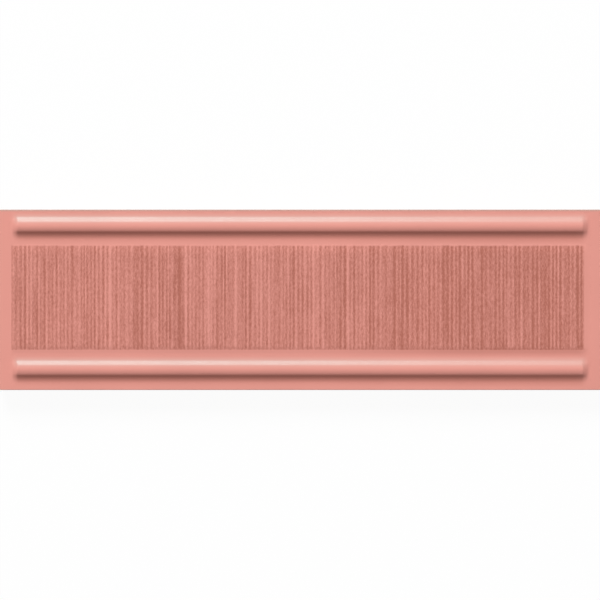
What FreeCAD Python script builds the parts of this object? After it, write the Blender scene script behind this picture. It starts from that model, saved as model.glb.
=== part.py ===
# Glazed ceramic border tile, pressed and fired as one piece.
# It lies on its back with its face up: +X along the tile, +Y to the upper long edge, +Z out of the face.
# The origin is the middle of the back. All sizes are millimetres.

import FreeCAD, Part
import math
import os
import Sketcher

# Driving sizes: alias, value, what it is
SIZES = [
    ("tile_length", 200.0, "overall length"),
    ("tile_width", 60.0, "overall width"),
    ("body_thickness", 7.0, "back to the flat of the face"),
    ("corner_radius", 0.5, "rounding of the four upright corners"),
    ("face_arris", 0.2, "rounding of the edge round the face"),
    ("back_arris", 0.4, "chamfer of the edge round the back"),
    ("bead_width", 8.9, "width of each raised bead, toe to toe"),
    ("bead_height", 1.3, "crown of each bead above the flat"),
    ("bead_crown", 4.1, "radius of a bead's crown, which runs into hollow flanks"),
    ("bead_end_margin", 4.1, "end of the tile to the foot of a bead's end"),
    ("bead_end_lean", 60.0, "lean of a bead's end from upright, in degrees"),
    ("upper_margin", 1.05, "upper long edge to the upper bead"),
    ("lower_margin", 2.4, "lower long edge to the lower bead"),
    ("upper_gap", 1.7, "upper bead to the ribbed field"),
    ("lower_gap", 2.15, "lower bead to the ribbed field"),
    ("field_left_margin", 3.9, "left end of the tile to the field"),
    ("field_right_margin", 5.4, "right end of the tile to the field"),
    ("field_rise", 0.25, "crests of the field above the flat"),
    ("field_corner", 0.5, "rounding of the field's corners in plan"),
    ("field_edge", 0.15, "rounding of the field's upper edge"),
    ("groove_width", 5.0, "mouth of each key groove in the back"),
    ("groove_depth", 0.8, "depth of each key groove"),
    ("groove_draft", 30.0, "lean of a groove's sides, in degrees"),
    ("groove_pitch", 9.0, "key groove to key groove"),
    ("groove_side_rim", 4.0, "least flat rim between the grooves and a long edge"),
    ("groove_end_rim", 6.0, "flat rim between the grooves and a tile end"),
]

# Lengths worked out from the driving sizes
BEAD_LENGTH = "Sizes.tile_length - 2 * Sizes.bead_end_margin"
UPPER_BEAD_Y = "Sizes.tile_width / 2 - Sizes.upper_margin - Sizes.bead_width / 2"
LOWER_BEAD_Y = "Sizes.lower_margin + Sizes.bead_width / 2 - Sizes.tile_width / 2"
FIELD_LENGTH = "Sizes.tile_length - Sizes.field_left_margin - Sizes.field_right_margin"
ABOVE_FIELD = "Sizes.upper_margin + Sizes.bead_width + Sizes.upper_gap"
BELOW_FIELD = "Sizes.lower_margin + Sizes.bead_width + Sizes.lower_gap"
FIELD_WIDTH = f"Sizes.tile_width - ({ABOVE_FIELD}) - ({BELOW_FIELD})"
FIELD_X = "(Sizes.field_left_margin - Sizes.field_right_margin) / 2"
FIELD_Y = f"(({BELOW_FIELD}) - ({ABOVE_FIELD})) / 2"
GROOVE_LAND = "(Sizes.groove_pitch - Sizes.groove_width)"
GROOVE_ROOM = "(Sizes.tile_width - 2 * Sizes.groove_side_rim)"
GROOVE_COUNT = f"floor(({GROOVE_ROOM} + {GROOVE_LAND}) / Sizes.groove_pitch)"
GROOVE_LENGTH = "Sizes.tile_length - 2 * Sizes.groove_end_rim"
GROOVE_FLOOR = "Sizes.groove_width - 2 * Sizes.groove_depth * tan(Sizes.groove_draft * 1deg)"

# Radius of a bead's hollow flanks, from its half width, height and crown
FLANK_REACH = "((Sizes.bead_width / 2) ^ 2 + Sizes.bead_height ^ 2) / (2 * Sizes.bead_height)"
FLANK_RADIUS = f"{FLANK_REACH} - Sizes.bead_crown"

# A bead's section reaches half way into the body, which backs its thin toes
BEAD_FOOTING = "Sizes.body_thickness / 2"

# The wedge that cuts a bead's end to its lean stands twice as high as the bead
WEDGE_HEIGHT = "2 * Sizes.bead_height"
WEDGE_RUN = f"{WEDGE_HEIGHT} * tan(Sizes.bead_end_lean * 1deg)"

UPRIGHT_AXIS, ROOT = range(-2, 0)  # a sketch's own upright axis, and its origin with its level axis
START, END, CENTRE = range(1, 4)  # point numbers of a sketch line or arc
NEAR = 1e-4  # two places this close are the same


def write_sizes(doc):
    """Puts the driving sizes into the document's sheet, one row each."""
    sheet = doc.addObject("Spreadsheet::Sheet", "Sizes")
    for row, (alias, value, meaning) in enumerate(SIZES, start=1):
        sheet.set(f"A{row}", alias)
        sheet.set(f"B{row}", str(value))
        sheet.setAlias(f"B{row}", alias)
        sheet.set(f"C{row}", meaning)
    doc.recompute()
    return sheet


def sketch_on(body, name, role, **offset):
    """Adds a sketch on one of the body's origin planes, moved by expressions along its own axes."""
    sketch = body.newObject("Sketcher::SketchObject", name)
    plane = next(p for p in body.Origin.OriginFeatures if p.Role == role)
    sketch.AttachmentSupport = [(plane, "")]
    sketch.MapMode = "FlatFace"
    for axis, expression in offset.items():
        sketch.setExpression(f"AttachmentOffset.Base.{axis}", expression)
    return sketch


def tie(sketch, name, expression, *constraint):
    """Adds a dimension to a sketch and binds it to the sheet. Its first value only starts the solver."""
    index = sketch.addConstraint(Sketcher.Constraint(*constraint))
    sketch.renameConstraint(index, name)
    sketch.setExpression(f"Constraints.{name}", expression)


def line(x0, y0, x1, y1):
    return Part.LineSegment(FreeCAD.Vector(x0, y0, 0), FreeCAD.Vector(x1, y1, 0))


def arc(x, y, radius, start_degrees, end_degrees):
    circle = Part.Circle(FreeCAD.Vector(x, y, 0), FreeCAD.Vector(0, 0, 1), radius)
    return Part.ArcOfCircle(circle, math.radians(start_degrees), math.radians(end_degrees))


def draw_rectangle(sketch, length, width, half_length, half_width):
    """A rectangle centred on the sketch's origin. The half sizes only place its first drawing."""
    x, y = half_length, half_width
    corners = [(-x, -y), (x, -y), (x, y), (-x, y)]
    for side in range(4):
        sketch.addGeometry(line(*corners[side], *corners[(side + 1) % 4]))
    for side in range(4):
        sketch.addConstraint(Sketcher.Constraint("Coincident", side, END, (side + 1) % 4, START))
        sketch.addConstraint(Sketcher.Constraint("Vertical" if side % 2 else "Horizontal", side))
    sketch.addConstraint(Sketcher.Constraint("Symmetric", 0, START, 1, END, ROOT, START))
    tie(sketch, "length", length, "DistanceX", 0, START, 0, END, 2 * x)
    tie(sketch, "width", width, "DistanceY", 1, START, 1, END, 2 * y)


def draw_bead_section(sketch, half_width, height, crown_radius, footing):
    """Bead section: a footing in the body, hollow flanks that leave the face flat, and a round crown."""
    flank_radius = (half_width**2 + height**2) / (2 * height) - crown_radius
    turn = math.degrees(2 * math.atan(height / half_width))  # how far each flank and half the crown turn
    base, right_side, right, crown, left, left_side = range(6)
    sketch.addGeometry(line(-half_width, -footing, half_width, -footing))
    sketch.addGeometry(line(half_width, -footing, half_width, 0))
    sketch.addGeometry(arc(half_width, flank_radius, flank_radius, 270 - turn, 270))
    sketch.addGeometry(arc(0, height - crown_radius, crown_radius, 90 - turn, 90 + turn))
    sketch.addGeometry(arc(-half_width, flank_radius, flank_radius, 270, 270 + turn))
    sketch.addGeometry(line(-half_width, 0, -half_width, -footing))
    sketch.addConstraint(Sketcher.Constraint("Coincident", base, END, right_side, START))
    sketch.addConstraint(Sketcher.Constraint("Coincident", right_side, END, right, END))
    sketch.addConstraint(Sketcher.Constraint("Tangent", right, START, crown, START))
    sketch.addConstraint(Sketcher.Constraint("Tangent", crown, END, left, END))
    sketch.addConstraint(Sketcher.Constraint("Coincident", left, START, left_side, START))
    sketch.addConstraint(Sketcher.Constraint("Coincident", left_side, END, base, START))
    sketch.addConstraint(Sketcher.Constraint("Horizontal", base))
    for side, flank, toe in ((right_side, right, END), (left_side, left, START)):
        sketch.addConstraint(Sketcher.Constraint("Vertical", side))
        sketch.addConstraint(Sketcher.Constraint("Vertical", flank, CENTRE, flank, toe))
    sketch.addConstraint(Sketcher.Constraint("PointOnObject", right_side, END, ROOT))
    sketch.addConstraint(Sketcher.Constraint("Symmetric", right_side, END, left_side, START, ROOT, START))
    sketch.addConstraint(Sketcher.Constraint("Equal", right, left))
    tie(sketch, "width", "Sizes.bead_width", "DistanceX", base, START, base, END, 2 * half_width)
    tie(sketch, "footing", BEAD_FOOTING, "DistanceY", right_side, START, right_side, END, footing)
    tie(sketch, "crown", "Sizes.bead_crown", "Radius", crown, crown_radius)
    tie(sketch, "flank", FLANK_RADIUS, "Radius", right, flank_radius)


def draw_end_wedges(sketch, end, height, run):
    """Two wedges that lean in over a bead from its ends, each with its point on the face."""
    points = [(end, 0), (end, height), (end - run, height)]
    upright, top, lean = range(3)
    for way in (1, -1):
        places = [(way * x, y) for x, y in points]
        for side in range(3):
            sketch.addGeometry(line(*places[side], *places[(side + 1) % 3]))
    for first in (0, 3):
        for side in range(3):
            sketch.addConstraint(
                Sketcher.Constraint("Coincident", first + side, END, first + (side + 1) % 3, START)
            )
    for side in range(3):
        sketch.addConstraint(
            Sketcher.Constraint("Symmetric", side, START, 3 + side, START, UPRIGHT_AXIS)
        )
    sketch.addConstraint(Sketcher.Constraint("Vertical", upright))
    sketch.addConstraint(Sketcher.Constraint("Horizontal", top))
    sketch.addConstraint(Sketcher.Constraint("PointOnObject", lean, END, ROOT))
    tie(sketch, "reach", f"({BEAD_LENGTH}) / 2", "DistanceX", ROOT, START, upright, START, end)
    tie(sketch, "height", WEDGE_HEIGHT, "DistanceY", upright, START, upright, END, height)
    tie(sketch, "run", WEDGE_RUN, "DistanceX", top, END, top, START, run)


def draw_groove_section(sketch, half_mouth, half_floor, depth):
    """Key groove: its mouth on the back, sides that lean in, and a flat floor inside the body."""
    corners = [(-half_mouth, 0), (half_mouth, 0), (half_floor, depth), (-half_floor, depth)]
    mouth, _, floor_line, _ = range(4)
    for side in range(4):
        sketch.addGeometry(line(*corners[side], *corners[(side + 1) % 4]))
    for side in range(4):
        sketch.addConstraint(Sketcher.Constraint("Coincident", side, END, (side + 1) % 4, START))
    sketch.addConstraint(Sketcher.Constraint("Horizontal", mouth))
    sketch.addConstraint(Sketcher.Constraint("Symmetric", mouth, START, mouth, END, ROOT, START))
    sketch.addConstraint(Sketcher.Constraint("Symmetric", floor_line, START, floor_line, END, UPRIGHT_AXIS))
    tie(sketch, "mouth", "Sizes.groove_width", "DistanceX", mouth, START, mouth, END, 2 * half_mouth)
    tie(sketch, "floor", GROOVE_FLOOR, "DistanceX", floor_line, END, floor_line, START, 2 * half_floor)
    tie(sketch, "depth", "Sizes.groove_depth", "DistanceY", mouth, START, floor_line, END, depth)


def extrude(body, kind, name, sketch, length, side="One side"):
    """Adds a Pad or a Pocket of a sketch, with its length bound to an expression."""
    feature = body.newObject(f"PartDesign::{kind}", name)
    feature.Profile = sketch
    feature.SideType = side
    feature.setExpression("Length", length)
    sketch.Visibility = False
    body.Document.recompute()
    return feature


def edges_of(feature, wanted):
    """Names of the feature's edges whose bounding boxes pass a test."""
    edges = feature.Shape.Edges
    return [f"Edge{i}" for i, edge in enumerate(edges, start=1) if wanted(edge.BoundBox)]


def dress(body, kind, name, base, edges, size_name, size):
    """Adds a Fillet or a Chamfer on the named edges of the feature before it."""
    feature = body.newObject(f"PartDesign::{kind}", name)
    feature.Base = (base, edges)
    feature.setExpression(size_name, size)
    body.Document.recompute()
    return feature


def at_level(box, level):
    return abs(box.ZMin - level) < NEAR and abs(box.ZMax - level) < NEAR


def upright(box):
    return box.ZLength > NEAR and box.XLength < NEAR and box.YLength < NEAR


def build_slab(body, sheet):
    """The plain body of the tile, with its corners and arrises eased."""
    outline = sketch_on(body, "SlabOutline", "XY_Plane")
    draw_rectangle(
        outline, "Sizes.tile_length", "Sizes.tile_width", sheet.tile_length / 2, sheet.tile_width / 2
    )
    slab = extrude(body, "Pad", "Slab", outline, "Sizes.body_thickness")
    corners = edges_of(slab, upright)
    eased = dress(body, "Fillet", "SlabCorners", slab, corners, "Radius", "Sizes.corner_radius")
    top = edges_of(eased, lambda box: at_level(box, sheet.body_thickness))
    faced = dress(body, "Fillet", "FaceArris", eased, top, "Radius", "Sizes.face_arris")
    bottom = edges_of(faced, lambda box: at_level(box, 0))
    return dress(body, "Chamfer", "BackArris", faced, bottom, "Size", "Sizes.back_arris")


def build_field(body, sheet):
    """The raised field between the beads, level with the crests of its fine ribs."""
    face = sheet.body_thickness
    crest = face + sheet.field_rise
    outline = sketch_on(
        body, "FieldOutline", "XY_Plane", x=FIELD_X, y=FIELD_Y, z="Sizes.body_thickness"
    )
    draw_rectangle(outline, FIELD_LENGTH, FIELD_WIDTH, sheet.tile_length / 2, sheet.tile_width / 4)
    field = extrude(body, "Pad", "Field", outline, "Sizes.field_rise")
    corners = edges_of(field, lambda box: upright(box) and box.ZMin > face - NEAR)
    eased = dress(body, "Fillet", "FieldCorners", field, corners, "Radius", "Sizes.field_corner")
    rim = edges_of(eased, lambda box: at_level(box, crest))
    return dress(body, "Fillet", "FieldEdge", eased, rim, "Radius", "Sizes.field_edge")


def build_bead(body, sheet, name, centre):
    """One raised bead along the tile, cut to a lean at both ends."""
    section = sketch_on(body, f"{name}Section", "YZ_Plane", x=centre, y="Sizes.body_thickness")
    draw_bead_section(
        section, sheet.bead_width / 2, sheet.bead_height, sheet.bead_crown, sheet.body_thickness / 2
    )
    extrude(body, "Pad", name, section, BEAD_LENGTH, side="Symmetric")
    wedges = sketch_on(
        body, f"{name}EndWedges", "XZ_Plane", y="Sizes.body_thickness", z=f"-({centre})"
    )
    end = sheet.tile_length / 2 - sheet.bead_end_margin
    height = 2 * sheet.bead_height
    draw_end_wedges(wedges, end, height, height * math.tan(math.radians(sheet.bead_end_lean)))
    return extrude(body, "Pocket", f"{name}Ends", wedges, "Sizes.bead_width", side="Symmetric")


def build_key_grooves(body, sheet):
    """Shallow grooves along the back that key the tile into its adhesive."""
    lean = math.tan(math.radians(sheet.groove_draft))
    half_mouth = sheet.groove_width / 2
    section = sketch_on(
        body, "GrooveSection", "YZ_Plane", x=f"-(({GROOVE_COUNT}) - 1) * Sizes.groove_pitch / 2"
    )
    draw_groove_section(
        section, half_mouth, half_mouth - sheet.groove_depth * lean, sheet.groove_depth
    )
    groove = extrude(body, "Pocket", "KeyGroove", section, GROOVE_LENGTH, side="Symmetric")
    row = body.newObject("PartDesign::LinearPattern", "KeyGrooves")
    row.Originals = [groove]
    row.Direction = (section, ["H_Axis"])
    row.Mode = "Spacing"
    row.setExpression("Offset", "Sizes.groove_pitch")
    row.setExpression("Occurrences", GROOVE_COUNT)
    body.Tip = row
    body.Document.recompute()
    return row


def build_tile(doc, sheet):
    """The whole tile as one body."""
    body = doc.addObject("PartDesign::Body", "BorderTile")
    body.Label = "border_tile"
    build_slab(body, sheet)
    build_field(body, sheet)
    build_bead(body, sheet, "UpperBead", UPPER_BEAD_Y)
    build_bead(body, sheet, "LowerBead", LOWER_BEAD_Y)
    build_key_grooves(body, sheet)
    return body


def check(doc, parts):
    """Stops before anything is written if an object failed or a piece isn't one closed solid."""
    failed = [o.Name for o in doc.Objects if {"Invalid", "Error"} & set(o.State)]
    if failed:
        raise RuntimeError(f"these objects failed: {failed}")
    for part in parts:
        shape = part.Shape
        if shape.isNull() or not shape.isValid() or len(shape.Solids) != 1:
            raise RuntimeError(f"{part.Label} isn't one valid solid")


def main():
    doc = FreeCAD.newDocument("BorderTile")
    sheet = write_sizes(doc)
    parts = [build_tile(doc, sheet)]
    doc.recompute()
    check(doc, parts)
    os.makedirs("parts", exist_ok=True)
    for part in parts:
        part.Shape.exportStep(f"parts/{part.Label}.step")
        box = part.Shape.optimalBoundingBox(False)
        print(part.Label, f"{box.XLength:.2f} x {box.YLength:.2f} x {box.ZLength:.2f} mm")


main()
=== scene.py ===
# Pink glazed border tile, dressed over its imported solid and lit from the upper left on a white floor
import math

import bpy
import numpy as np
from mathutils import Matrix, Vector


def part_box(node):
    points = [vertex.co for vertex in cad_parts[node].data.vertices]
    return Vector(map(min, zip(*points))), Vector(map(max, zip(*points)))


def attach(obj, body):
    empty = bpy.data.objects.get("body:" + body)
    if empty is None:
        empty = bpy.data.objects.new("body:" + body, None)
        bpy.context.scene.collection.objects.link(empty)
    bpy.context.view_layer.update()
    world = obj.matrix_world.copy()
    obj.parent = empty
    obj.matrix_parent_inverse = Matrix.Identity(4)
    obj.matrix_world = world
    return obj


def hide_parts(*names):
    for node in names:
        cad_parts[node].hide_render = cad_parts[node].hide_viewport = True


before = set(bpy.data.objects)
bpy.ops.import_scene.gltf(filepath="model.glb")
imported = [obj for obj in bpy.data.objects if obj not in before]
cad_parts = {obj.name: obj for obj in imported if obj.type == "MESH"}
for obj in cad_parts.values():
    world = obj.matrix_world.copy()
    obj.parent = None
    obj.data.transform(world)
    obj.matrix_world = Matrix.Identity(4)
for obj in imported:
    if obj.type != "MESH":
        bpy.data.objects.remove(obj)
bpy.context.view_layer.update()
mm = 0.001

lineDigits = 5  # lines of the mesh are rounded to this many decimals of a millimetre
lineSlack = 0.0001  # and found again within this much


# smooth step: three t squared less two t cubed, t held between 0 and 1
def smoothRise(t):
    t = np.clip(t, 0, 1)
    return t * t * (3 - 2 * t)


# climb that is steep at first and level at its end: one less the square of what is left
def easeOut(t):
    return 1 - (1 - np.clip(t, 0, 1)) ** 2


# points on a circle: centre plus radius times the cosine and sine of evenly spaced angles
def arcPoints(across, up, radius, start, end, steps):
    angles = np.radians(np.linspace(start, end, steps))
    return np.column_stack((across + radius * np.cos(angles), up + radius * np.sin(angles)))


# sorted places along one axis, with those that fall together kept once
def sortedLines(*groups):
    return np.unique(np.round(np.concatenate([np.ravel(g) for g in groups]), lineDigits))


# places from start to end at about the given step
def evenly(start, end, step):
    return np.linspace(start, end, max(2, int(round(abs(end - start) / step)) + 1))


# quads of a grid of vertex numbers, anticlockwise where both axes rise
def gridFaces(index):
    return np.stack((index[:-1, :-1], index[:-1, 1:], index[1:, 1:], index[1:, :-1]), -1).reshape(-1, 4)


# the four borders of a grid, anticlockwise from the lower one, with the way each runs
def gridBorders(index):
    lines = (index[0], index[:, -1], index[-1, ::-1], index[::-1, 0])
    ways = ((1, 0, 0), (0, 1, 0), (-1, 0, 0), (0, -1, 0))
    return [(line, np.array(way, float)) for line, way in zip(lines, ways)]


# triangles between two lines of vertices on one plane: each step along either line meets the vertex that
# the other has reached at that share of its way
def zipLines(places, lineA, lineB, direction, up):
    alongA = places[lineA] @ direction
    alongB = places[lineB] @ direction
    alongA = (alongA - alongA[0]) / (alongA[-1] - alongA[0])
    alongB = (alongB - alongB[0]) / (alongB[-1] - alongB[0])
    atA = np.searchsorted(alongA[1:], alongB[1:], side="left")
    atB = np.searchsorted(alongB[1:], alongA[1:], side="right")
    stepsB = np.column_stack((lineA[atA], lineB[:-1], lineB[1:]))
    stepsA = np.column_stack((lineA[:-1], lineA[1:], lineB[atB]))
    faces = np.vstack((stepsA, stepsB))
    corner = places[faces]
    turn = np.cross(corner[:, 1] - corner[:, 0], corner[:, 2] - corner[:, 0])[:, 2] * up
    faces[turn < 0] = faces[turn < 0][:, ::-1]
    return faces


glazed, bare = 0, 1  # material slots of the tile
valueNames = ("glazePool", "ribbed", "glazeThin", "glazeDrained")  # what the glaze reads at each vertex


# adds a patch's vertices and their values to those gathered so far, and gives their numbers
def addPlaces(gathered, places, **values):
    shape = places.shape[:-1]
    start = len(gathered["places"])
    gathered["places"] = np.vstack((gathered["places"], places.reshape(-1, 3)))
    for name in valueNames:
        added = np.broadcast_to(values.get(name, 0.0), shape).ravel()
        gathered[name] = np.concatenate((gathered[name], added))
    return np.arange(start, len(gathered["places"])).reshape(shape)


# adds a patch's faces, all with one material
def addFaces(gathered, faces, slot):
    gathered["faces"].append(faces)
    gathered["slots"].append(np.full(len(faces), slot))


# the tile as a whole, in millimetres, with the same sizes as the solid
tile = {
    "node": "border_tile",
    "body": "root",
    "slot": "pink_glazed_ceramic",
    "thickness": 7.0,  # back to the flat of the face
    "corner": 0.5,  # rounding of the upright corners
    "arris": 0.2,  # rounding round the face
    "rampFrom": -5.0,  # a ramp towards the right end starts at this place along the tile
    "rampOver": 70.0,  # and rises over this length
    "drained": 0.8,  # the coat drained off the upper edge over this width
    "drainedShare": 0.58,
    "lineStep": 2.0,  # spacing of lines over the plain stretches of the face
    "hold": 0.12,  # a line this close to a curve keeps the flat beside it flat
}
low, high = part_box(tile["node"])
halfLength = (high.x - low.x) / 2 / mm
halfWidth = (high.y - low.y) / 2 / mm
face = tile["thickness"]


# a smooth step along the tile, rising towards the right end, for the painted shade and the ribs' tone that
# change along it
def rightwardRamp(x):
    return smoothRise((x - tile["rampFrom"]) / tile["rampOver"])


# the two raised beads along the long edges, in millimetres
beads = {
    "width": 8.9,  # toe to toe
    "crown": 4.1,  # radius of the crown, which runs into hollow flanks
    "steps": 13,  # points on each arc of the section
    "upperMargin": 1.05,  # long edge to the bead
    "lowerMargin": 2.4,
    "endMargin": 4.1,  # end of the tile to the foot of a bead's end
    "endLean": 57.0,  # degrees from upright
    "endRound": 1.2,  # crown of the end
    "endRoot": 2.0,  # hollow at its foot
    "endSteps": (6, 8),  # points on those two arcs, foot first
    "shadeStart": 1.2,  # painted shade on the lower flank, for the shadow below the bead: it begins here below the crown
    "shadeDeep": 2.1,  # it is darkest here
    "shadeEnd": 6.0,  # and has faded out here, on the flat
    "shadeLines": 4,  # lines of the mesh on that flat
    "shadeShare": 0.68,
    "shadeSpread": 0.4,  # how much slower it fades out at the right end, where the painted shadow reaches further
    "shadeMargin": 4.4,  # end of the tile to where the painted shade begins
    "shadeRun": 2.8,  # and how far it takes to reach its full strength
    "flankShadeAt": 2.4,  # painted shade that tones down the lit upper flank, centred this far above the crown
    "flankShadeWidth": 2.5,
    "flankShadeShare": 0.5,
    "flankShadeLoss": 0.17,  # how much less of it lies at the right end
}
beadHeight = high.z / mm - face
upperBeadY = halfWidth - beads["upperMargin"] - beads["width"] / 2
lowerBeadY = beads["lowerMargin"] + beads["width"] / 2 - halfWidth


# bead section: a hollow flank arc tangent to the flat, then the crown arc tangent to it, then mirrored
def beadSection():
    half, crown = beads["width"] / 2, beads["crown"]
    lean = 2 * math.atan(beadHeight / half)
    hollow = half / math.sin(lean) - crown
    turn = math.degrees(lean)
    side = np.vstack((
        arcPoints(half, hollow, hollow, 270, 270 - turn, beads["steps"]),
        arcPoints(0, beadHeight - crown, crown, 90 - turn, 90, beads["steps"])[1:],
    ))
    return np.vstack((side * (-1, 1), side[-2::-1]))


# bead end, as distance in from its foot and share of the height: hollow root, leaning wall, round crown
def beadEnd():
    root, rounding = beads["endRoot"], beads["endRound"]
    climb = 90 - beads["endLean"]
    cut = math.tan(math.radians(climb / 2))  # how far an arc of radius 1 reaches from its corner
    shoulder = beadHeight * math.tan(math.radians(beads["endLean"])) + rounding * cut
    footSteps, crownSteps = beads["endSteps"]
    foot = arcPoints(-root * cut, root, root, 270, 270 + climb, footSteps)
    crown = arcPoints(shoulder, beadHeight - rounding, rounding, 90 + climb, 90, crownSteps)
    return np.vstack((foot, crown)) / (1, beadHeight)


# the raised field between the beads, in millimetres
field = {
    "leftMargin": 3.9,  # end of the tile to the field
    "rightMargin": 5.4,
    "upperGap": 1.7,  # bead to the field
    "lowerGap": 2.15,
    "rise": 0.25,  # rib crests above the flat
    "upperRun": 3.6,  # the upper edge climbs over this length, steep at first
    "leftRun": 0.7,
    "insideRun": 1.4,  # the lower and right edges fall over this length inside the field
    "lowerSkirt": 1.8,  # and run out in a hollow over this length outside it
    "rightSkirt": 2.0,
    "skirtShare": 0.6,  # part of the rise that the hollow takes
    "rim": 0.1,  # flat left round the field and its skirts, up to the first lines of the face
    "fade": 0.45,  # ribs begin over this length
    "begunBelow": 0.7,  # share of it that lies outside the lower edge
    "upperFade": 0.7,
    "settle": 1.3,  # near the lower edge ribs and grooves draw together over this length
    "settleShare": 0.5,
    "shadeBelowShare": 0.3,  # painted shade below the field at its right end, for a shadow there
    "shadeBelowStart": 0.68,  # it begins this far up in the field
    "shadeBelowRun": 0.8,  # darkens over this length
    "shadeBelowReach": 2.93,  # ends this far below the field
    "shadeBelowFading": 2.33,  # having faded out over this length
    "shadeBelowSide": 4.5,  # and over this one towards the end of the tile
    "upperLines": 10,  # lines of the mesh over the upper edge's climb
    "insideLines": 5,  # over the lower edge's fall
    "lowerLines": 7,  # and over the two skirts
    "rightLines": 8,
    "rowStep": 0.55,  # spacing of the rows between
}
fieldLeft = field["leftMargin"] - halfLength
fieldRight = halfLength - field["rightMargin"]
fieldUpper = upperBeadY - beads["width"] / 2 - field["upperGap"]
fieldLower = lowerBeadY + beads["width"] / 2 + field["lowerGap"]
patchRight = fieldRight + field["rightSkirt"]
patchLower = fieldLower - field["lowerSkirt"]


# painted shade below the field, for a shadow there: a smooth step up inside its lower edge times a slower
# one down outside, times the ramp towards the right and a smooth step at the field's end
def shadeBelowField(x, y):
    below = smoothRise((fieldLower + field["shadeBelowStart"] - y) / field["shadeBelowRun"])
    below *= smoothRise((y - fieldLower + field["shadeBelowReach"]) / field["shadeBelowFading"])
    along = rightwardRamp(x) * smoothRise((patchRight - x) / field["shadeBelowSide"])
    return field["shadeBelowShare"] * below[:, None] * along


# height of the face outside the field: bead section across times bead end along, added to the flat;
# painted shade for the shadow below each bead: a quick smooth step below each crown and a slow one back,
# which a power below 1 slows more towards the right, times a smooth step at the ends, plus the painted
# shade below the field;
# painted shade on each bead's lit upper flank: a smooth bump above each crown, less towards the right,
# times the bead end;
# drained: a smooth step at the upper edge
def faceSurface(x, y):
    across, up = beadSection().T
    inward, share = beadEnd().T
    along = np.interp(halfLength - beads["endMargin"] - np.abs(x), inward, share)
    # painted shade under the beads comes in by a smooth step near the bead ends
    gathered = smoothRise((halfLength - beads["shadeMargin"] - np.abs(x)) / beads["shadeRun"])
    start, deep, end = beads["shadeStart"], beads["shadeDeep"], beads["shadeEnd"]
    power = 1 - beads["shadeSpread"] * rightwardRamp(x)
    height, thinningAndShade = np.zeros((2, len(y)))
    darkening = np.zeros((len(y), len(x)))
    for middle in (upperBeadY, lowerBeadY):
        above = y - middle
        height += np.interp(above, across, up)
        back = smoothRise((above + end) / (end - deep))[:, None] ** power
        darkening += smoothRise((-above - start) / (deep - start))[:, None] * back
        thinningAndShade += smoothRise(1 - np.abs(above - beads["flankShadeAt"]) / beads["flankShadeWidth"])
    edge = smoothRise((y - halfWidth + tile["drained"]) / (tile["drained"] - tile["arris"]))
    height = face + height[:, None] * along
    darkening = beads["shadeShare"] * darkening * gathered + shadeBelowField(x, y)
    thinningAndShade = beads["flankShadeShare"] * thinningAndShade[:, None] * along * (1 - beads["flankShadeLoss"] * rightwardRamp(x))
    return height, darkening, thinningAndShade, tile["drainedShare"] * edge[:, None]


# the flat of the face with both beads, open where the field goes; gives its grid and the opening's
def addFace(gathered):
    hold, rim = tile["hold"], field["rim"]
    edgeX = halfLength - tile["corner"]
    edgeY = halfWidth - tile["corner"]
    holeX = (fieldLeft - rim, patchRight + rim)
    holeY = (patchLower - rim, fieldUpper + rim)
    across = beadSection()[:, 0]
    # lines across the flat below each bead, where the painted shade fades out
    pooledAndShaded = -np.linspace(beads["width"] / 2 + hold, beads["shadeEnd"], beads["shadeLines"])
    across = np.concatenate((pooledAndShaded, across, [across[-1] + hold]))
    inward = beadEnd()[:, 0]
    inward = np.concatenate(([inward[0] - hold], inward, [inward[-1] + hold]))
    endX = halfLength - beads["endMargin"] - inward
    plain = evenly(-endX.min(), endX.min(), tile["lineStep"])
    x = sortedLines([-edgeX, edgeX], endX, -endX, plain, holeX)
    strips = evenly(*holeY, tile["lineStep"])
    y = sortedLines([-edgeY, edgeY], upperBeadY + across, lowerBeadY + across, strips)
    up, darkening, thinningAndShade, drained = faceSurface(x, y)
    places = np.stack((*np.meshgrid(x, y), up), -1)
    index = addPlaces(gathered, places, glazePool=darkening, glazeThin=thinningAndShade, glazeDrained=drained)
    quads = gridFaces(index)
    middle = gathered["places"][quads].mean(1)
    inHole = (middle[:, 0] > holeX[0]) & (middle[:, 0] < holeX[1])
    inHole &= (middle[:, 1] > holeY[0]) & (middle[:, 1] < holeY[1])
    addFaces(gathered, quads[~inHole], glazed)
    columns = slice(*np.searchsorted(x, (holeX[0] - lineSlack, holeX[1] + lineSlack)))
    rows = slice(*np.searchsorted(y, (holeY[0] - lineSlack, holeY[1] + lineSlack)))
    return index, index[rows, columns]


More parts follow.
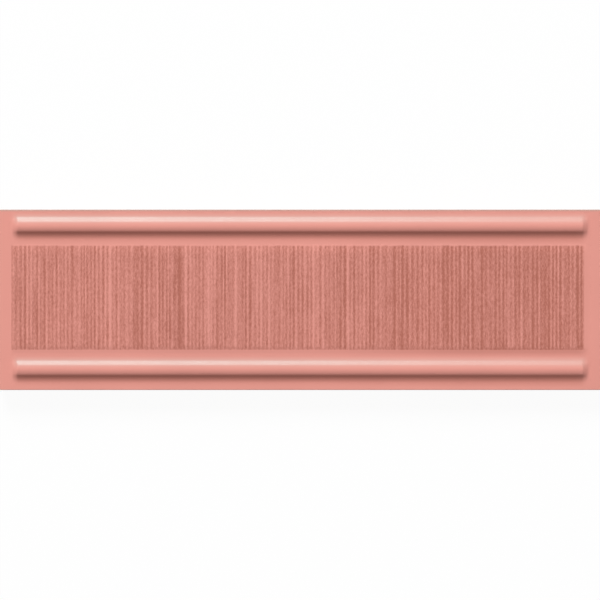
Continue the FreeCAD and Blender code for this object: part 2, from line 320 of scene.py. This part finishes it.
# the fine upright ribs of the field, in millimetres, with depths as shares of the deepest groove
ribs = {
    "seed": 3138,
    "pitch": 1.37,
    "pitchSpread": 0.18,
    "spreadLimit": 1.7,  # no width is further out than this many spreads
    "depth": 0.12,  # deepest groove below the crests
    "samples": 6,  # columns in a rib
    "crest": 0.32,
    "crestSpread": 0.1,
    "groove": 0.78,
    "grooveSpread": 0.1,
    "uneven": 0.08,  # how much a rib changes along its length
    "knotStep": 9.5,  # and over what length
    "wobble": 0.012,  # sideways wander of a rib
    "raggedStart": 0.2,  # ribs begin up to this far below the field's upper edge
    "drift": 0.09,  # deeper towards the right end
    "pale": -0.35,  # what a marked stripe adds
    "light": -0.15,
    "dark": 0.16,
    "deep": 0.36,
    "markReach": 0.3,  # it reaches this far past its width
    "markRamp": 0.45,  # and comes in over this length
    "marked": [  # stripes that stand out: middle along the tile, width, tone
        (-63.8, 2.0, "light"),
        (-53.3, 2.4, "dark"),
        (-40.0, 1.9, "deep"),
        (-37.2, 2.2, "light"),
        (-34.4, 1.2, "dark"),
        (-29.9, 2.6, "light"),
        (-21.5, 1.6, "light"),
        (-16.6, 1.0, "light"),
        (-14.0, 3.0, "light"),
        (-10.2, 1.2, "light"),
        (2.0, 1.0, "light"),
        (5.1, 1.0, "light"),
        (11.6, 1.0, "light"),
        (13.4, 0.9, "dark"),
        (16.7, 1.6, "pale"),
        (31.0, 2.2, "dark"),
        (34.4, 0.9, "dark"),
        (48.2, 2.2, "dark"),
        (53.4, 0.9, "dark"),
        (56.0, 1.0, "dark"),
        (61.5, 2.6, "dark"),
        (64.6, 1.2, "dark"),
        (67.7, 0.9, "dark"),
        (80.8, 1.2, "dark"),
        (86.7, 1.2, "dark"),
    ],
}


# tone of the ribs along the field: a drift to the right plus a flat-topped bump for each marked stripe
def toneAt(x):
    middle, width = np.array([stripe[:2] for stripe in ribs["marked"]]).T[:, :, None]
    shift = np.array([ribs[stripe[2]] for stripe in ribs["marked"]])
    near = smoothRise((width / 2 + ribs["markReach"] - np.abs(x - middle)) / ribs["markRamp"])
    return ribs["drift"] * rightwardRamp(x) + shift @ near


# unevenness along ribs: random values at knots down each rib, joined by smooth steps
def unevenness(rng, y, count):
    place = (y - patchLower) / ribs["knotStep"]
    values = rng.standard_normal((int(place.max()) + 2, count))
    knot = place.astype(int)
    blend = smoothRise(place - knot)[:, None]
    return values[knot] * (1 - blend) + values[knot + 1] * blend


# columns of the field with the depth, sideways wander and start of the ribs at each: half a cosine wave
# from crest in the middle of a rib to groove at its edge, and crests, grooves and edges vary down it
def ribColumns(y):
    rng = np.random.default_rng(ribs["seed"])
    count = round((fieldRight - fieldLeft) / ribs["pitch"])
    limit = ribs["spreadLimit"]
    widths = 1 + ribs["pitchSpread"] * np.clip(rng.standard_normal(count), -limit, limit)
    edges = np.concatenate(([0], np.cumsum(widths))) / widths.sum()
    edges = fieldLeft + edges * (fieldRight - fieldLeft)
    middles = (edges[1:] + edges[:-1]) / 2
    crests = rng.normal(ribs["crest"], ribs["crestSpread"], count) + toneAt(middles)
    dips = rng.normal(ribs["groove"], ribs["grooveSpread"], count + 1) + toneAt(edges)
    crests = crests + ribs["uneven"] * unevenness(rng, y, count)
    dips = dips + ribs["uneven"] * unevenness(rng, y, count + 1)
    sway = ribs["wobble"] * unevenness(rng, y, count + 1)
    rib = np.append(np.repeat(np.arange(count), ribs["samples"]), count - 1)
    part = np.append(np.tile(np.arange(ribs["samples"]) / ribs["samples"], count), 1.0)
    x = edges[rib] + part * (edges[rib + 1] - edges[rib])
    nearest = np.where(part < 0.5, rib, rib + 1)
    inGroove = 0.5 + 0.5 * np.cos(2 * math.pi * part)
    depth = crests[:, rib] * (1 - inGroove) + dips[:, nearest] * inGroove
    aside = sway[:, rib] * (1 - part) + sway[:, rib + 1] * part
    start = ribs["raggedStart"] * rng.random(count + 1)[nearest]
    return x, np.clip(depth, 0, 1), aside, start


# share of the rise near an edge: outside it a hollow, the square of what is left of the skirt, and inside
# it an easing climb
def skirtedEdge(inward, skirt):
    outside = field["skirtShare"] * np.clip(1 + inward / skirt, 0, 1) ** 2
    inside = field["skirtShare"] + (1 - field["skirtShare"]) * easeOut(inward / field["insideRun"])
    return np.where(inward < 0, outside, inside)


# field surface: the edges' shares of the rise multiplied together, less the ribs, which draw towards their
# mean depth at the lower edge and fade in at every edge;
# darkening: glaze pooled by the depth of the ribs, and the painted shade below the field
def fieldSurface():
    upperRows = fieldUpper - field["upperRun"] * np.linspace(0, 1, field["upperLines"]) ** 2
    innerRows = evenly(fieldLower + field["insideRun"], fieldUpper - field["upperRun"], field["rowStep"])
    edgeRows = fieldLower + np.linspace(0, field["insideRun"], field["insideLines"])
    skirtRows = np.linspace(patchLower, fieldLower, field["lowerLines"])
    y = sortedLines(upperRows, innerRows, edgeRows, skirtRows)
    x, depth, aside, start = ribColumns(y)
    settled = field["settleShare"] * smoothRise(1 - (y - fieldLower) / field["settle"])
    depth += settled[:, None] * (depth.mean() - depth)
    beyond = np.linspace(fieldRight, patchRight, field["rightLines"])[1:]
    x = np.append(x, beyond)
    depth = np.pad(depth, ((0, 0), (0, len(beyond))), mode="edge")
    aside = np.pad(aside, ((0, 0), (0, len(beyond))))
    start = np.pad(start, (0, len(beyond)))
    along = smoothRise((x - fieldLeft) / field["leftRun"])
    along *= skirtedEdge(fieldRight - x, field["rightSkirt"])
    across = easeOut((fieldUpper - y) / field["upperRun"])
    across *= skirtedEdge(y - fieldLower, field["lowerSkirt"])
    fadeAlong = smoothRise((x - fieldLeft) / field["fade"]) * smoothRise((fieldRight - x) / field["fade"])
    fadeBelow = smoothRise((y - fieldLower) / field["fade"] + field["begunBelow"])
    fadeAbove = smoothRise((fieldUpper - y[:, None] - start) / field["upperFade"])
    ribbed = fadeAbove * fadeBelow[:, None] * fadeAlong
    up = face + field["rise"] * across[:, None] * along - ribs["depth"] * depth * ribbed
    gridX = x + aside * ribbed
    gridY = np.broadcast_to(y[:, None], up.shape)
    return np.stack((gridX, gridY, up), -1), depth * ribbed + shadeBelowField(x, y), ribbed


# the ribbed field, and the flat strip that joins it to the face
def addField(gathered, hole):
    places, darkening, ribbed = fieldSurface()
    index = addPlaces(gathered, places, glazePool=darkening, ribbed=ribbed)
    addFaces(gathered, gridFaces(index), glazed)
    for (outer, way), (inner, _) in zip(gridBorders(hole), gridBorders(index)):
        addFaces(gathered, zipLines(gathered["places"], outer, inner, way, 1), glazed)


# the sides of the tile, glazed above and bare below, in millimetres
sides = {
    "cornerSteps": 3,  # steps in half a corner
    "arrisThin": (0.9, 1.0, 1.0, 0.9, 0.5, 0.15),  # how the coat thins round the arris, face first
    "backArris": 0.4,  # easing round the back
    "backArrisSteps": 5,  # points on its arc
    "glazeThickness": 0.12,
    "glazeLine": 3.1,  # height where the glaze ends
    "glazeRagged": 0.55,  # how far that line wanders up and down
    "glazeWaves": [  # waves round the tile that make it wander: number, phase and size
        (3, 0.4, 0.42),
        (7, 1.9, 0.3),
        (14, 4.1, 0.22),
        (31, 0.8, 0.16),
        (57, 2.6, 0.08),
    ],
    "glazeLip": [  # the end of the coat: height above the line, share of the coat left, thinning
        (0.5, 1.0, 0.0),
        (0.16, 1.0, 0.0),
        (0.05, 0.75, 0.2),
        (0.0, 0.1, 0.5),
        (-0.06, 0.0, 0.0),
        (-0.4, 0.0, 0.0),
    ],
}


# how far the glaze line stands above its mean: a sum of sines of the distance round the tile
def glazeWander(around):
    turns = around / around.max() * 2 * math.pi
    return sum(size * np.sin(wave * turns + phase) for wave, phase, size in sides["glazeWaves"])


# the face's border as one loop of vertex numbers that stays at each corner while it turns, with the way
# outward from each, the cosine and sine of its angle, and where each side starts in the loop
def borderLoop(index):
    base, angle, starts = [], [], []
    for number, (line, _) in enumerate(gridBorders(index)):
        toward = 90.0 * number - 90  # the way this side faces, in degrees
        before = np.linspace(toward - 45, toward, sides["cornerSteps"] + 1)[:-1]
        after = np.linspace(toward, toward + 45, sides["cornerSteps"] + 1)[1:-1]
        starts.append(sum(map(len, base)))
        base.append(np.pad(line, (len(before), len(after)), mode="edge"))
        angle.append(np.concatenate((before, np.full(len(line), toward), after)))
    angle = np.radians(np.concatenate(angle))
    return np.concatenate(base), np.column_stack((np.cos(angle), np.sin(angle))), starts


# profile of the sides, as distance out from the border, height and drained share: flat rim, arc of the
# arris, glazed side, end of the coat at its line, bare side, arc of the back arris; and where it goes bare
def sideProfile(line, facingUp):
    corner, arris, hold = tile["corner"], tile["arris"], tile["hold"]
    coat, lip = sides["glazeThickness"], sides["glazeLip"]
    easing = sides["backArris"] - coat  # what is left of the back arris where the coat has ended
    onRim = tile["drainedShare"] * np.clip(facingUp, 0, 1)
    drained = 0.5 + 0.5 * facingUp  # from none at the lower edge to all at the upper one
    profile = [(corner - arris - hold, face, onRim), (corner - arris, face, onRim)]
    turn = arcPoints(corner - arris, face - arris, arris, 90, 0, len(sides["arrisThin"]) + 1)[1:]
    profile += [(out, up, thinningAndShade * drained) for (out, up), thinningAndShade in zip(turn, sides["arrisThin"])]
    profile += [(corner, face - arris - hold, 0.0)]
    profile += [(corner - coat * (1 - left), line + up, thinningAndShade * drained) for up, left, thinningAndShade in lip]
    bareFrom = len(profile) - sum(left == 0 for _, left, _ in lip)
    profile += [(corner - coat, easing + hold, 0.0)]
    turn = arcPoints(corner - coat - easing, easing, easing, 0, -90, sides["backArrisSteps"])
    profile += [(out, up, 0.0) for out, up in turn]
    return profile, bareFrom


# the edge all round: the profile carried round the face's border and turned about its corners;
# gives its last line, cut into the four sides
def addSides(gathered, index):
    base, outward, starts = borderLoop(index)
    border = gathered["places"][base][:, :2]
    steps = np.linalg.norm(np.diff(border + tile["corner"] * outward, axis=0), axis=1)
    around = np.concatenate(([0], np.cumsum(steps)))
    line = sides["glazeLine"] + sides["glazeRagged"] * glazeWander(around)
    profile, bareFrom = sideProfile(line, outward[:, 1])
    rows = [base]
    for out, up, thinningAndShade in profile:
        places = np.column_stack((border + out * outward, np.broadcast_to(up, len(base))))
        rows.append(addPlaces(gathered, places, glazeDrained=thinningAndShade))
    for number, (upper, lower) in enumerate(zip(rows, rows[1:])):
        quads = np.column_stack((upper, lower, np.roll(lower, -1), np.roll(upper, -1)))
        slot = glazed if number < bareFrom else bare
        pinched = quads[:, 0] == quads[:, 3]  # at a corner of the face, where the first row is one point
        addFaces(gathered, quads[~pinched], slot)
        addFaces(gathered, quads[pinched][:, :3], slot)
    ends = starts[1:] + [len(base)]
    loop = np.append(rows[-1], rows[-1][0])
    return [loop[start:end + 1] for start, end in zip(starts, ends)]


# key grooves pressed in the back, in millimetres
grooves = {
    "width": 5.0,  # across the mouth
    "floor": 4.08,  # width of the flat at the bottom
    "depth": 0.8,
    "pitch": 9.0,
    "count": 6,
    "endRim": 6.0,  # end of the tile to the grooves' ends
    "rim": 1.5,  # flat kept at the tile's edge
    "soft": 0.1,  # the flanks run this far past their corners, which rounds them
    "flankLines": 7,  # lines of the mesh over a flank
    "endLines": 6,  # and over an end
    "columnStep": 8.0,
}


# the bare back: key grooves as smooth steps across, times smooth steps at their ends
def addBack(gathered, borders):
    hold, rim = tile["hold"], grooves["rim"]
    lean = (grooves["width"] - grooves["floor"]) / 2 + 2 * grooves["soft"]
    outer = grooves["width"] / 2 + grooves["soft"]
    centres = (np.arange(grooves["count"]) - (grooves["count"] - 1) / 2) * grooves["pitch"]
    flank = np.linspace(outer - lean, outer, grooves["flankLines"])
    flank = np.concatenate((flank, [outer + hold, flank[0] - hold]))
    endX = halfLength - grooves["endRim"]
    ends = np.linspace(endX - lean, endX, grooves["endLines"])
    ends = np.append(ends, (endX + hold, endX - lean - hold))
    plain = evenly(-endX, endX, grooves["columnStep"])
    x = sortedLines([rim - halfLength, halfLength - rim], ends, -ends, plain)
    y = sortedLines([rim - halfWidth, halfWidth - rim], np.add.outer(centres, (flank, -flank)))
    nearest = np.abs(y[:, None] - centres).min(1)
    across = smoothRise((outer - nearest) / lean)
    along = smoothRise((endX - np.abs(x)) / lean)
    up = grooves["depth"] * across[:, None] * along
    index = addPlaces(gathered, np.stack((*np.meshgrid(x, y), up), -1))
    addFaces(gathered, gridFaces(index)[:, ::-1], bare)
    for outerLine, (inner, way) in zip(borders, gridBorders(index)):
        addFaces(gathered, zipLines(gathered["places"], outerLine, inner, way, -1), bare)


# puts the gathered arrays into one Blender mesh, leaving out vertices that no face uses
def makeTile(name):
    gathered = {"places": np.zeros((0, 3)), "faces": [], "slots": []}
    gathered.update({value: np.zeros(0) for value in valueNames})
    index, hole = addFace(gathered)
    addField(gathered, hole)
    borders = addSides(gathered, index)
    addBack(gathered, borders)
    print("face, field, sides and back worked out:", len(gathered["faces"]), "patches")
    used = np.unique(np.concatenate([f.ravel() for f in gathered["faces"]]))
    number = np.zeros(len(gathered["places"]), int)
    number[used] = np.arange(len(used))
    polygons = [polygon for faces in gathered["faces"] for polygon in number[faces].tolist()]
    mesh = bpy.data.meshes.new(name)
    mesh.from_pydata(gathered["places"][used] * mm, [], polygons)
    for value in valueNames:
        attribute = mesh.attributes.new(value, "FLOAT", "POINT")
        attribute.data.foreach_set("value", gathered[value][used].astype(np.float32))
    mesh.polygons.foreach_set("material_index", np.concatenate(gathered["slots"]).astype(np.int32))
    mesh.polygons.foreach_set("use_smooth", np.ones(len(polygons), bool))
    mesh.update()
    triangles = sum(len(polygon) - 2 for polygon in polygons)
    print("tile mesh:", len(used), "vertices,", triangles, "triangles")
    return bpy.data.objects.new(name, mesh)


# sRGB hex to linear, as the shader sockets want it
def linear(hexColour):
    shares = [int(hexColour[i:i + 2], 16) / 255 for i in (1, 3, 5)]
    return (*(s / 12.92 if s <= 0.04045 else ((s + 0.055) / 1.055) ** 2.4 for s in shares), 1.0)


# adds one node, sets its properties, fills or links its inputs, and gives the output asked for
def addNode(tree, kind, inputs, output=0, **settings):
    node = tree.nodes.new(kind)
    for name, value in settings.items():
        setattr(node, name, value)
    for socket, value in inputs.items():
        if isinstance(value, bpy.types.NodeSocket):
            tree.links.new(value, node.inputs[socket])
        else:
            node.inputs[socket].default_value = value
    return node.outputs[output] if node.outputs else None


# an empty material and its node tree
def newMaterial(name):
    material = bpy.data.materials.new(name)
    material.use_nodes = True
    material.node_tree.nodes.clear()
    return material, material.node_tree


colourA, colourB, colourOut = 6, 7, 2  # a Mix node's sockets for colours

# fired earthenware glaze, sizes in millimetres
glaze = {
    "coat": "#E3998D",  # even coat on the flat
    "pooledAndShaded": "#B26C5D",  # deeper where it pools between ribs; the same colour is painted shade below the beads and the field
    "thinningAndShade": "#A2978F",  # greyer: painted shade on a bead's lit upper flank
    "drained": "#B59C91",  # paler and browner where it has drained off an arris
    "roughness": 0.24,
    "ribDullness": 0.16,  # what the ribs add to the roughness
    "ior": 1.5,
    "specularLevel": 0.145,
    "sheen": "#C4FFFF",  # the soft light is cool beside the warm coat
    "weaveRelief": 0.06,  # height that the weave gives the ribs
    "bumpStrength": 0.6,
    "noiseRoughness": 0.55,
    "noiseRange": (0.25, 0.75),  # what the noise gives, nearly all of it
    "patterns": {  # width and length of each pattern's marks, and its detail
        "grain": (0.32, 0.95, 1.0),
        "streak": (0.5, 14.0, 2.0),
        "patch": (5.0, 7.0, 2.0),
        "cloud": (28.0, 28.0, 2.0),
        "gloss": (6.0, 6.0, 2.0),
        "peel": (2.6, 2.6, 1.0),
    },
    "spans": {  # lowest and highest value that each pattern gives
        "grain": (-0.3, 0.3),
        "streak": (-0.12, 0.12),
        "patch": (-0.045, 0.045),
        "cloud": (0.975, 1.025),
        "gloss": (-0.03, 0.03),
        "peel": (0.0, 0.012),
    },
}


# A glossy coat that runs off crests and pools in hollows: pale on ribs, deeper between, thin on edges,
# with painted shade below the beads and the field and on the beads' lit upper flanks
def pinkGlazeMaterial():
    material, tree = newMaterial("pink_earthenware_glaze_fired")
    place = addNode(tree, "ShaderNodeTexCoord", {}, "Object")
    value = {}
    for name in valueNames:
        value[name] = addNode(tree, "ShaderNodeAttribute", {}, "Fac", attribute_name=name)
    for name, (width, length, detail) in glaze["patterns"].items():
        scale = (1 / (width * mm), 1 / (length * mm), 1 / (width * mm))
        mapped = addNode(tree, "ShaderNodeMapping", {"Vector": place, "Scale": scale})
        inputs = {"Vector": mapped, "Scale": 1.0, "Detail": detail, "Roughness": glaze["noiseRoughness"]}
        noise = addNode(tree, "ShaderNodeTexNoise", inputs, "Fac")
        least, most = glaze["noiseRange"]
        lowest, highest = glaze["spans"][name]
        inputs = {"Value": noise, "From Min": least, "From Max": most, "To Min": lowest, "To Max": highest}
        value[name] = addNode(tree, "ShaderNodeMapRange", inputs)
    # colour: the coat deepens with the pool and the weave of the ribs and with painted shade below the
    # beads and the field, takes painted shade on the beads' lit upper flanks, and pales where it drains
    weave = addNode(tree, "ShaderNodeMath", {0: value["grain"], 1: value["streak"]}, operation="ADD")
    depth = addNode(tree, "ShaderNodeMath", {0: weave, 1: value["patch"]}, operation="ADD")
    inputs = {0: depth, 1: value["ribbed"], 2: value["glazePool"]}
    depth = addNode(tree, "ShaderNodeMath", inputs, operation="MULTIPLY_ADD")
    inputs = {0: depth, colourA: linear(glaze["coat"]), colourB: linear(glaze["pooledAndShaded"])}
    colour = addNode(tree, "ShaderNodeMix", inputs, colourOut, data_type="RGBA", clamp_factor=True)
    for name, shade in (("glazeThin", "thinningAndShade"), ("glazeDrained", "drained")):
        inputs = {0: value[name], colourA: colour, colourB: linear(glaze[shade])}
        colour = addNode(tree, "ShaderNodeMix", inputs, colourOut, data_type="RGBA")
    colour = addNode(tree, "ShaderNodeVectorMath", {0: colour, 1: value["cloud"]}, operation="MULTIPLY")
    # gloss: a little duller on the ribs
    inputs = {0: value["ribbed"], 1: glaze["ribDullness"], 2: glaze["roughness"]}
    rough = addNode(tree, "ShaderNodeMath", inputs, operation="MULTIPLY_ADD")
    rough = addNode(tree, "ShaderNodeMath", {0: rough, 1: value["gloss"]}, operation="ADD")
    # relief: faint orange peel all over, and the weave on the ribs
    relief = addNode(tree, "ShaderNodeMath", {0: weave, 1: value["ribbed"]}, operation="MULTIPLY")
    inputs = {0: relief, 1: glaze["weaveRelief"], 2: value["peel"]}
    relief = addNode(tree, "ShaderNodeMath", inputs, operation="MULTIPLY_ADD")
    inputs = {"Height": relief, "Distance": mm, "Strength": glaze["bumpStrength"]}
    bump = addNode(tree, "ShaderNodeBump", inputs)
    shader = addNode(tree, "ShaderNodeBsdfPrincipled", {
        "Base Color": colour,
        "Roughness": rough,
        "Normal": bump,
        "IOR": glaze["ior"],
        "Specular IOR Level": glaze["specularLevel"],
        "Specular Tint": linear(glaze["sheen"]),
    })
    addNode(tree, "ShaderNodeOutputMaterial", {"Surface": shader})
    return material


# pressed and fired clay body, sizes in millimetres
biscuit = {
    "clay": "#CBB9A1",
    "stained": "#B49F86",
    "roughness": 0.88,
    "patterns": {  # size of each pattern's marks, and its detail
        "blotch": (18.0, 4.0),
        "grain": (0.35, 3.0),  # coarser than real grit, so that it shows
    },
    "blotchRange": (0.4, 0.7),  # noise where a blotch begins and is full
    "blotchShare": 0.8,
    "grainRelief": 0.05,
    "bumpStrength": 0.7,
}


# Dry pale body left bare on the back and the lower sides: matt, fine grained, with faint kiln blotches
def biscuitMaterial():
    material, tree = newMaterial("pale_biscuit_pressed_and_fired")
    place = addNode(tree, "ShaderNodeTexCoord", {}, "Object")
    noise = {}
    for name, (size, detail) in biscuit["patterns"].items():
        inputs = {"Vector": place, "Scale": 1 / (size * mm), "Detail": detail}
        noise[name] = addNode(tree, "ShaderNodeTexNoise", inputs, "Fac")
    begins, full = biscuit["blotchRange"]
    most = biscuit["blotchShare"]
    inputs = {"Value": noise["blotch"], "From Min": begins, "From Max": full, "To Max": most}
    share = addNode(tree, "ShaderNodeMapRange", inputs)
    inputs = {0: share, colourA: linear(biscuit["clay"]), colourB: linear(biscuit["stained"])}
    colour = addNode(tree, "ShaderNodeMix", inputs, colourOut, data_type="RGBA")
    relief = biscuit["grainRelief"] * mm
    inputs = {"Height": noise["grain"], "Distance": relief, "Strength": biscuit["bumpStrength"]}
    bump = addNode(tree, "ShaderNodeBump", inputs)
    inputs = {"Base Color": colour, "Normal": bump, "Roughness": biscuit["roughness"]}
    shader = addNode(tree, "ShaderNodeBsdfPrincipled", inputs)
    addNode(tree, "ShaderNodeOutputMaterial", {"Surface": shader})
    return material


piece = makeTile("glazed_tile")
bpy.context.scene.collection.objects.link(piece)
piece.data.materials.append(pinkGlazeMaterial())
piece.data.materials.append(biscuitMaterial())
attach(piece, tile["body"])
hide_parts(tile["node"])
print("tile dressed")

# white paper under the tile, sizes in metres
sweep = {
    "size": 6.0,
    "colour": "#F2F2F2",
    "drop": 0.00002,  # keeps it off the plane of the back
    "opening": 0.0007,  # it is left out under the tile, from this far in from the tile's edge
    "shadowShare": 0.05,  # how much of its own light and shade shows
}


# Matt paper off the roll, which the camera and reflections see as plain white with a trace of shadow
def paperMaterial():
    material, tree = newMaterial("white_paper_sweep")
    paper = addNode(tree, "ShaderNodeBsdfDiffuse", {"Color": linear(sweep["colour"])})
    white = addNode(tree, "ShaderNodeEmission", {"Color": (1, 1, 1, 1), "Strength": 1.0})
    path = addNode(tree, "ShaderNodeLightPath", {}).node.outputs
    seen = path["Is Camera Ray"]
    for ray in ("Is Glossy Ray", "Is Transmission Ray"):
        seen = addNode(tree, "ShaderNodeMath", {0: seen, 1: path[ray]}, operation="MAXIMUM")
    share = addNode(tree, "ShaderNodeMath", {0: seen, 1: 1 - sweep["shadowShare"]}, operation="MULTIPLY")
    shown = addNode(tree, "ShaderNodeMixShader", {0: share, 1: paper, 2: white})
    addNode(tree, "ShaderNodeOutputMaterial", {"Surface": shown})
    return material


# the floor: a flat grid of three by three panels, without the middle one
def makeFloor():
    half = sweep["size"] / 2
    openX = high.x - sweep["opening"]
    openY = high.y - sweep["opening"]
    x, y = np.meshgrid((-half, -openX, openX, half), (-half, -openY, openY, half))
    corners = np.stack((x, y, np.full(x.shape, -sweep["drop"])), -1)
    panels = gridFaces(np.arange(x.size).reshape(x.shape))
    panels = np.delete(panels, len(panels) // 2, 0)
    mesh = bpy.data.meshes.new("studio_floor")
    mesh.from_pydata(corners.reshape(-1, 3), [], panels.tolist())
    mesh.materials.append(paperMaterial())
    floor = bpy.data.objects.new("studio_floor", mesh)
    bpy.context.scene.collection.objects.link(floor)


# even white light from all round
sky = {"strength": 0.28}


def makeSky():
    world = bpy.data.worlds.new("studio_sky")
    world.use_nodes = True
    tree = world.node_tree
    tree.nodes.clear()
    shine = addNode(tree, "ShaderNodeBackground", {"Color": (1, 1, 1, 1), "Strength": sky["strength"]})
    addNode(tree, "ShaderNodeOutputWorld", {"Surface": shine})
    bpy.context.scene.world = world


# key light from beyond the upper edge, sizes in metres
softbox = {
    "zenith": 54.0,  # degrees down from straight above
    "swing": 12.5,  # degrees round from the upper edge towards the left end
    "distance": 3.5,
    "size": (1.6, 1.44),
    "power": 157.6,
}


# the softbox stands on a sphere round the tile, at its two angles, and faces the middle
def makeKeyLight():
    zenith = math.radians(softbox["zenith"])
    swing = math.radians(softbox["swing"])
    data = bpy.data.lights.new("key_softbox", "AREA")
    data.shape = "RECTANGLE"
    data.size, data.size_y = softbox["size"]
    data.energy = softbox["power"]
    lamp = bpy.data.objects.new("key_softbox", data)
    flat = softbox["distance"] * math.sin(zenith)
    height = softbox["distance"] * math.cos(zenith)
    lamp.location = (-flat * math.sin(swing), flat * math.cos(swing), height)
    lamp.rotation_euler = (-zenith, 0, swing)
    bpy.context.scene.collection.objects.link(lamp)


# camera straight above the tile
view = {
    "lens": 200.0,  # millimetres, like the sensor
    "sensor": 36.0,
    "frameWidth": 0.1995,  # metres of the tile's length that the frame takes in
    "frameDrop": 0.00008,  # the frame's middle is this far below the tile's, in metres
}


# the camera is as far above the rim as its lens needs for the frame's width
def makeCamera():
    data = bpy.data.cameras.new("camera")
    data.lens = view["lens"]
    data.sensor_width = view["sensor"]
    camera = bpy.data.objects.new("camera", data)
    edgeHeight = (tile["thickness"] - tile["arris"]) * mm
    distance = view["frameWidth"] * view["lens"] / view["sensor"]
    camera.location = (0, -view["frameDrop"], edgeHeight + distance)
    bpy.context.scene.collection.objects.link(camera)
    bpy.context.scene.camera = camera


makeFloor()
makeSky()
makeKeyLight()
makeCamera()
bpy.context.scene.view_settings.view_transform = "Standard"
print("studio set")
